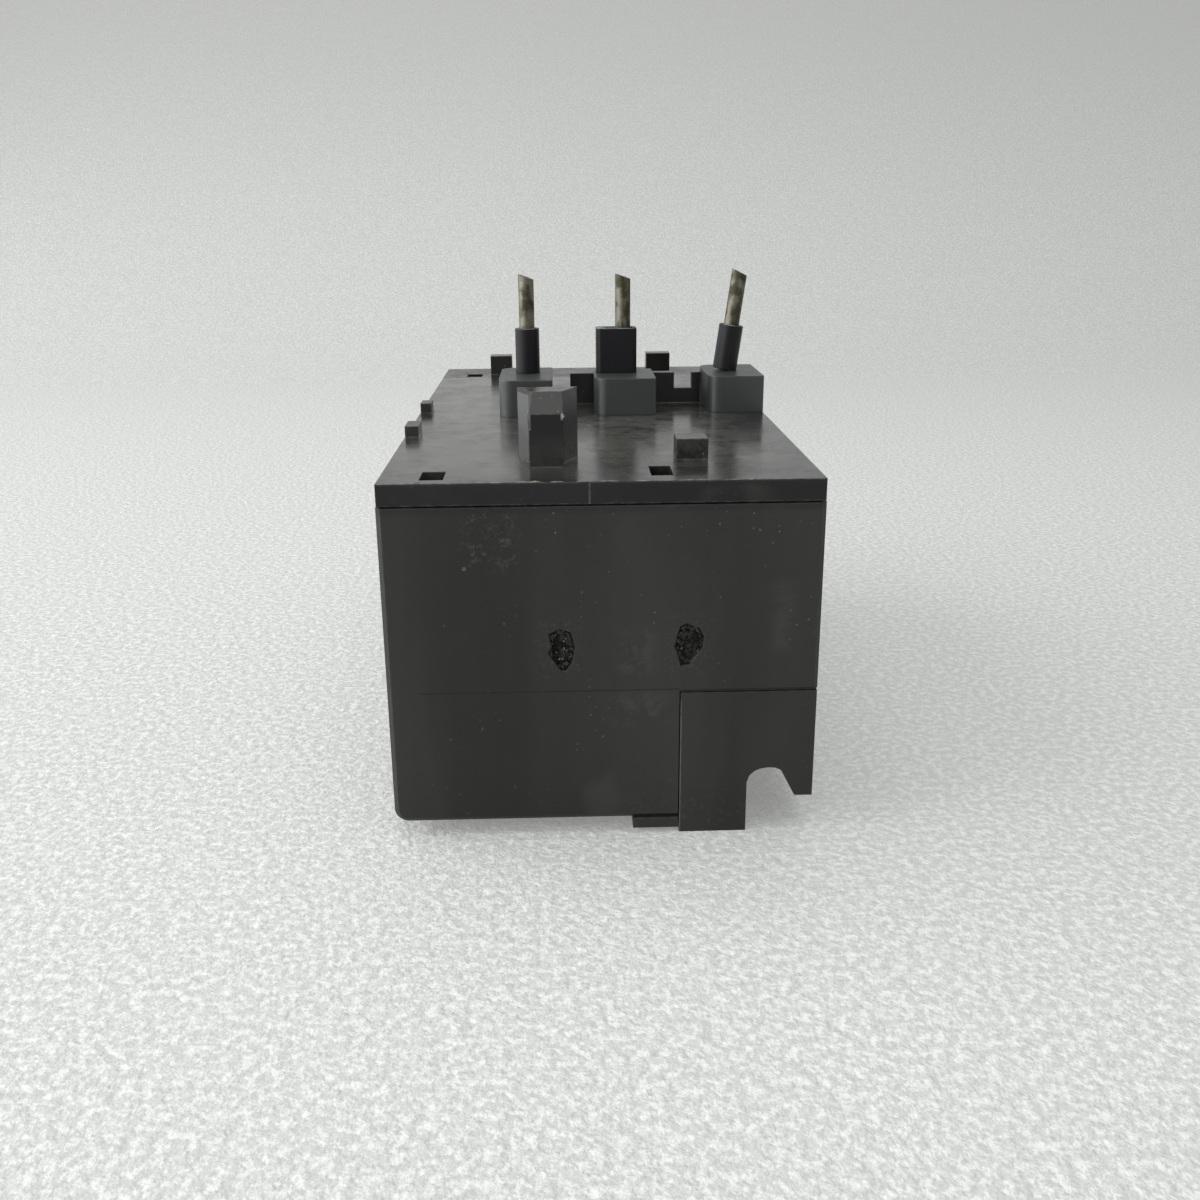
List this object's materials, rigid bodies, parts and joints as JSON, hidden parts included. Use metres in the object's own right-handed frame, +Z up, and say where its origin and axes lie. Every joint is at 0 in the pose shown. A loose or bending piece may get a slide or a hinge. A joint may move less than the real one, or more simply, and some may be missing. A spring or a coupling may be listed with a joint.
{
  "type": "thermal overload relay",
  "caption": "Plug-in thermal overload relay: bimetal strips trip auxiliary contacts; dial, reset and stop buttons under a clear cover, contact pins on top.",
  "frame": {"origin": "bottom centre of the bounding box, on the surface that the relay stands on", "axes": "+Z up, the way the contact pins point; +Y from the rear face to the control front; +X to the right seen from the rear"},
  "size_m": [0.045, 0.091, 0.0567],
  "materials": {
    "case_plastic": "fine matt moulded, charcoal",
    "lid_plastic": "worn semi-gloss, charcoal",
    "block_plastic": "matt grey-black",
    "sleeve_plastic": "smooth black",
    "tinned_metal": "dull tinned, tarnished",
    "copper": "plain copper",
    "bimetal": "rolled",
    "heater_alloy": "oxidised ribbon",
    "plated_steel": "zinc plated",
    "contact_brass": "plain",
    "mechanism_plastic": "natural",
    "dial_plastic": "off-white",
    "selector_plastic": "dark grey",
    "reset_plastic": "blue",
    "stop_plastic": "red",
    "test_plastic": "mid grey",
    "flag_plastic": "orange",
    "spring_steel": "drawn wire",
    "clear_plastic": "clear moulded"
  },
  "bodies": {
    "housing": {"case": "case_plastic", "rear_plate": "case_plastic", "lid": "lid_plastic", "pin_block_left": "block_plastic", "pin_sleeve_left": "sleeve_plastic", "contact_pin_left": "tinned_metal", "pin_lead_left": "copper", "heater_winding_left": "heater_alloy", "bimetal_strip_left": "bimetal", "load_bar_left": "copper", "pin_block_centre": "block_plastic", "pin_sleeve_centre": "sleeve_plastic", "contact_pin_centre": "tinned_metal", "pin_lead_centre": "copper", "heater_winding_centre": "heater_alloy", "bimetal_strip_centre": "bimetal", "load_bar_centre": "copper", "pin_block_right": "block_plastic", "pin_sleeve_right": "sleeve_plastic", "contact_pin_right": "tinned_metal", "pin_lead_right": "copper", "heater_winding_right": "heater_alloy", "bimetal_strip_right": "bimetal", "load_bar_right": "copper", "contact_tongue_95": "contact_brass", "contact_tongue_96": "contact_brass", "contact_tongue_97": "contact_brass", "contact_tongue_98": "contact_brass", "reset_spring": "spring_steel", "stop_spring": "spring_steel", "trip_spring": "spring_steel"},
    "power_clamp_left": {"power_clamp_left": "plated_steel"},
    "power_screw_left": {"power_screw_left": "plated_steel"},
    "power_clamp_centre": {"power_clamp_centre": "plated_steel"},
    "power_screw_centre": {"power_screw_centre": "plated_steel"},
    "power_clamp_right": {"power_clamp_right": "plated_steel"},
    "power_screw_right": {"power_screw_right": "plated_steel"},
    "control_clamp_95": {"control_clamp_95": "plated_steel"},
    "control_screw_95": {"control_screw_95": "plated_steel"},
    "control_clamp_96": {"control_clamp_96": "plated_steel"},
    "control_screw_96": {"control_screw_96": "plated_steel"},
    "control_clamp_97": {"control_clamp_97": "plated_steel"},
    "control_screw_97": {"control_screw_97": "plated_steel"},
    "control_clamp_98": {"control_clamp_98": "plated_steel"},
    "control_screw_98": {"control_screw_98": "plated_steel"},
    "carriage": {"contact_carriage": "mechanism_plastic", "closed_bridge": "contact_brass", "open_bridge": "contact_brass"},
    "trip_lever": {"trip_lever": "mechanism_plastic"},
    "compensating_lever": {"compensating_lever": "bimetal"},
    "push_bar": {"push_bar": "mechanism_plastic"},
    "follower_bar": {"follower_bar": "mechanism_plastic"},
    "setting_dial": {"setting_dial": "dial_plastic"},
    "adjusting_lever": {"adjusting_lever": "mechanism_plastic"},
    "mode_selector": {"mode_selector": "selector_plastic"},
    "reset_button": {"reset_button": "reset_plastic"},
    "stop_button": {"stop_button": "stop_plastic"},
    "test_button": {"test_button": "test_plastic"},
    "trip_flag": {"trip_flag": "flag_plastic"},
    "clear_cover": {"clear_cover": "clear_plastic"}
  },
  "joints": [
    {"name": "power_clamp_left_slide", "type": "slide", "parent": "housing", "child": "power_clamp_left", "axis": [0, -1, 0], "range_m": [0, 0.00355]},
    {"name": "power_screw_left_turn", "type": "hinge", "parent": "power_clamp_left", "child": "power_screw_left", "pos_m": [-0.014, 0.01705, 0.0076], "axis": [0, -1, 0], "range_deg": [0, 1825.71]},
    {"name": "power_clamp_centre_slide", "type": "slide", "parent": "housing", "child": "power_clamp_centre", "axis": [0, -1, 0], "range_m": [0, 0.00355]},
    {"name": "power_screw_centre_turn", "type": "hinge", "parent": "power_clamp_centre", "child": "power_screw_centre", "pos_m": [0, 0.01705, 0.0076], "axis": [0, -1, 0], "range_deg": [0, 1825.71]},
    {"name": "power_clamp_right_slide", "type": "slide", "parent": "housing", "child": "power_clamp_right", "axis": [0, -1, 0], "range_m": [0, 0.00355]},
    {"name": "power_screw_right_turn", "type": "hinge", "parent": "power_clamp_right", "child": "power_screw_right", "pos_m": [0.014, 0.01705, 0.0076], "axis": [0, -1, 0], "range_deg": [0, 1825.71]},
    {"name": "control_clamp_95_slide", "type": "slide", "parent": "housing", "child": "control_clamp_95", "axis": [0, -1, 0], "range_m": [0, 0.0035]},
    {"name": "control_screw_95_turn", "type": "hinge", "parent": "control_clamp_95", "child": "control_screw_95", "pos_m": [-0.01575, 0.03465, 0.0192], "axis": [0, -1, 0], "range_deg": [0, 2100]},
    {"name": "control_clamp_96_slide", "type": "slide", "parent": "housing", "child": "control_clamp_96", "axis": [0, -1, 0], "range_m": [0, 0.0035]},
    {"name": "control_screw_96_turn", "type": "hinge", "parent": "control_clamp_96", "child": "control_screw_96", "pos_m": [-0.00525, 0.03465, 0.0192], "axis": [0, -1, 0], "range_deg": [0, 2100]},
    {"name": "control_clamp_97_slide", "type": "slide", "parent": "housing", "child": "control_clamp_97", "axis": [0, -1, 0], "range_m": [0, 0.0035]},
    {"name": "control_screw_97_turn", "type": "hinge", "parent": "control_clamp_97", "child": "control_screw_97", "pos_m": [0.00525, 0.03465, 0.0192], "axis": [0, -1, 0], "range_deg": [0, 2100]},
    {"name": "control_clamp_98_slide", "type": "slide", "parent": "housing", "child": "control_clamp_98", "axis": [0, -1, 0], "range_m": [0, 0.0035]},
    {"name": "control_screw_98_turn", "type": "hinge", "parent": "control_clamp_98", "child": "control_screw_98", "pos_m": [0.01575, 0.03465, 0.0192], "axis": [0, -1, 0], "range_deg": [0, 2100]},
    {"name": "trip_turn", "type": "hinge", "parent": "housing", "child": "trip_lever", "pos_m": [-0.004, 0.01145, 0.0183], "axis": [0, 0, -1], "range_deg": [0, 8.63]},
    {"name": "carriage_slide", "type": "slide", "parent": "housing", "child": "carriage", "axis": [0, -1, 0], "range_m": [0, 0.0015], "deforming": ["trip_spring"]},
    {"name": "flag_slide", "type": "slide", "parent": "housing", "child": "trip_flag", "axis": [0, 1, 0], "range_m": [0, 0.0015]},
    {"name": "push_slide", "type": "slide", "parent": "housing", "child": "push_bar", "axis": [-1, 0, 0], "range_m": [0, 0.0022]},
    {"name": "follower_slide", "type": "slide", "parent": "housing", "child": "follower_bar", "axis": [-1, 0, 0], "range_m": [0, 0.0022]},
    {"name": "compensator_turn", "type": "hinge", "parent": "housing", "child": "compensating_lever", "pos_m": [-0.0155, 0.01095, 0.0183], "axis": [0, 0, -1], "range_deg": [0, 5.19]},
    {"name": "dial_turn", "type": "hinge", "parent": "housing", "child": "setting_dial", "pos_m": [-0.0152, 0.03445, 0.0312], "axis": [0, -1, 0], "range_deg": [-100, 100]},
    {"name": "adjusting_turn", "type": "hinge", "parent": "housing", "child": "adjusting_lever", "pos_m": [-0.01115, 0.02245, 0.0257], "axis": [0, -1, 0], "range_deg": [-6.15, 6.15]},
    {"name": "selector_turn", "type": "hinge", "parent": "housing", "child": "mode_selector", "pos_m": [-0.0062, 0.03445, 0.0312], "axis": [0, -1, 0], "range_deg": [0, 90]},
    {"name": "reset_press", "type": "slide", "parent": "housing", "child": "reset_button", "axis": [0, -1, 0], "range_m": [0, 0.0025], "stiffness_N_per_m": 400, "springref_m": -0.002, "deforming": ["reset_spring"]},
    {"name": "stop_press", "type": "slide", "parent": "housing", "child": "stop_button", "axis": [0, -1, 0], "range_m": [0, 0.002], "stiffness_N_per_m": 400, "springref_m": -0.002, "deforming": ["stop_spring"]},
    {"name": "test_press", "type": "slide", "parent": "housing", "child": "test_button", "axis": [0, -1, 0], "range_m": [0, 0.0013], "stiffness_N_per_m": 300, "springref_m": -0.002},
    {"name": "cover_swing", "type": "hinge", "parent": "housing", "child": "clear_cover", "pos_m": [-0.008, 0.04305, 0.0267], "axis": [-1, 0, 0], "range_deg": [0, 95]}
  ],
  "couplings": [
    {"joint": "power_screw_left_turn", "follows": "power_clamp_left_slide", "rad_per_m": 8976},
    {"joint": "power_screw_centre_turn", "follows": "power_clamp_centre_slide", "rad_per_m": 8976},
    {"joint": "power_screw_right_turn", "follows": "power_clamp_right_slide", "rad_per_m": 8976},
    {"joint": "control_screw_95_turn", "follows": "control_clamp_95_slide", "rad_per_m": 10472},
    {"joint": "control_screw_96_turn", "follows": "control_clamp_96_slide", "rad_per_m": 10472},
    {"joint": "control_screw_97_turn", "follows": "control_clamp_97_slide", "rad_per_m": 10472},
    {"joint": "control_screw_98_turn", "follows": "control_clamp_98_slide", "rad_per_m": 10472},
    {"joint": "trip_turn", "follows": "carriage_slide", "rad_per_m": 100.38},
    {"joint": "flag_slide", "follows": "carriage_slide", "ratio": 1},
    {"joint": "follower_slide", "follows": "push_slide", "ratio": 1},
    {"joint": "compensator_turn", "follows": "push_slide", "rad_per_m": 41.15},
    {"joint": "adjusting_turn", "follows": "dial_turn", "ratio": 0.0615}
  ]
}
